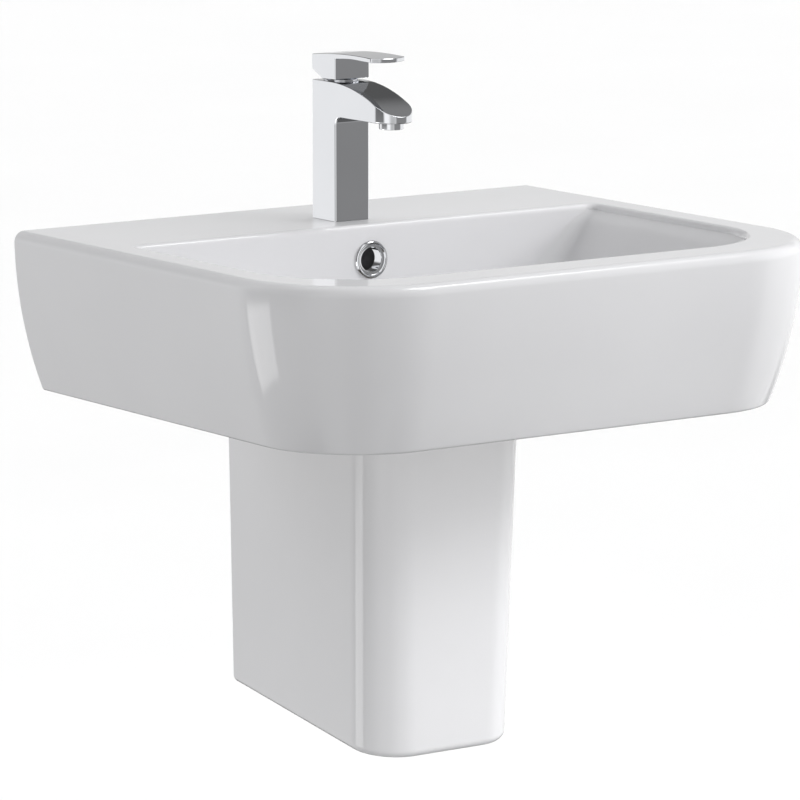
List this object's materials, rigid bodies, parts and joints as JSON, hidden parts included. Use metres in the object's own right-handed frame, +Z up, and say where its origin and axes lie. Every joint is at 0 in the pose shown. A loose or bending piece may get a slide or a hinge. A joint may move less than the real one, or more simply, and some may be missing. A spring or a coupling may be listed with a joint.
{
  "type": "wall-hung basin with semi-pedestal and mixer tap",
  "caption": "Wall-hung ceramic basin with a tap ledge over a half-height pedestal, with a single-lever mixer, push-to-close waste, bottle trap and supply valves.",
  "frame": {"origin": "on the basin's flat back, midway between its two wall bolts, 66 mm under the rim", "axes": "+X to the user's right, +Y into the wall, +Z up"},
  "size_m": [0.5198, 0.4349, 0.5564],
  "materials": {
    "ceramic": "white glaze",
    "chrome": "polished",
    "brass": "machined",
    "steel": "zinc plated",
    "copper": "drawn copper",
    "rubber": "matt",
    "white_plastic": "moulded",
    "grey_plastic": "moulded"
  },
  "bodies": {
    "sink": {"aerator_housing": "chrome", "aerator_insert": "white_plastic", "basin": "ceramic", "basin_bush_left": "white_plastic", "basin_bush_right": "white_plastic", "basin_nut_left": "steel", "basin_nut_right": "steel", "basin_stud_left": "steel", "basin_stud_right": "steel", "basin_washer_left": "steel", "basin_washer_right": "steel", "cartridge_body": "white_plastic", "cartridge_nut": "brass", "overflow_ring": "chrome", "pedestal_nut_left": "steel", "pedestal_nut_right": "steel", "pedestal_stud_left": "steel", "pedestal_stud_right": "steel", "pedestal_washer_left": "steel", "pedestal_washer_right": "steel", "semi_pedestal": "ceramic", "tail_left": "copper", "tail_right": "copper", "tap_base_seal": "rubber", "tap_body": "chrome", "tap_clamp_plate": "steel", "tap_collar": "chrome", "tap_fixing_nut": "brass", "tap_rubber_washer": "rubber", "tap_stud": "brass", "trap_body": "chrome", "trap_cup": "chrome", "trap_cup_seal": "rubber", "trap_dip_tube": "chrome", "trap_inlet_nut": "chrome", "trap_inlet_seal": "rubber", "trap_outlet_nut": "chrome", "trap_outlet_pipe": "chrome", "trap_outlet_seal": "rubber", "trap_wall_plate": "chrome", "valve_body_left": "chrome", "valve_body_right": "chrome", "valve_nut_left": "chrome", "valve_nut_right": "chrome", "valve_rosette_left": "chrome", "valve_rosette_right": "chrome", "waste_back_nut": "brass", "waste_body": "chrome", "waste_bottom_seal": "rubber", "waste_mechanism": "brass", "waste_top_seal": "rubber"},
    "lever_carrier": {"cartridge_carrier": "grey_plastic"},
    "lever": {"tap_lever": "chrome", "lever_screw": "steel", "lever_screw_cap": "grey_plastic", "cartridge_stem": "brass"},
    "plug": {"waste_plug": "chrome", "waste_plug_seal": "rubber"},
    "handle_left": {"valve_handle_left": "chrome"},
    "handle_right": {"valve_handle_right": "chrome"}
  },
  "joints": [
    {"name": "lever_turn", "type": "hinge", "parent": "sink", "child": "lever_carrier", "pos_m": [0, -0.086, 0.175], "axis": [0, 0, 1], "range_deg": [-50, 50]},
    {"name": "lever_lift", "type": "hinge", "parent": "lever_carrier", "child": "lever", "pos_m": [0, -0.086, 0.175], "axis": [-1, 0, 0], "range_deg": [0, 20]},
    {"name": "plug_press", "type": "slide", "parent": "sink", "child": "plug", "axis": [0, 0, 1], "range_m": [-0.0071, 0]},
    {"name": "valve_turn_left", "type": "hinge", "parent": "sink", "child": "handle_left", "pos_m": [-0.025, -0.046, -0.245], "axis": [0, -1, 0], "range_deg": [0, 90]},
    {"name": "valve_turn_right", "type": "hinge", "parent": "sink", "child": "handle_right", "pos_m": [0.025, -0.046, -0.245], "axis": [0, -1, 0], "range_deg": [0, 90]}
  ]
}
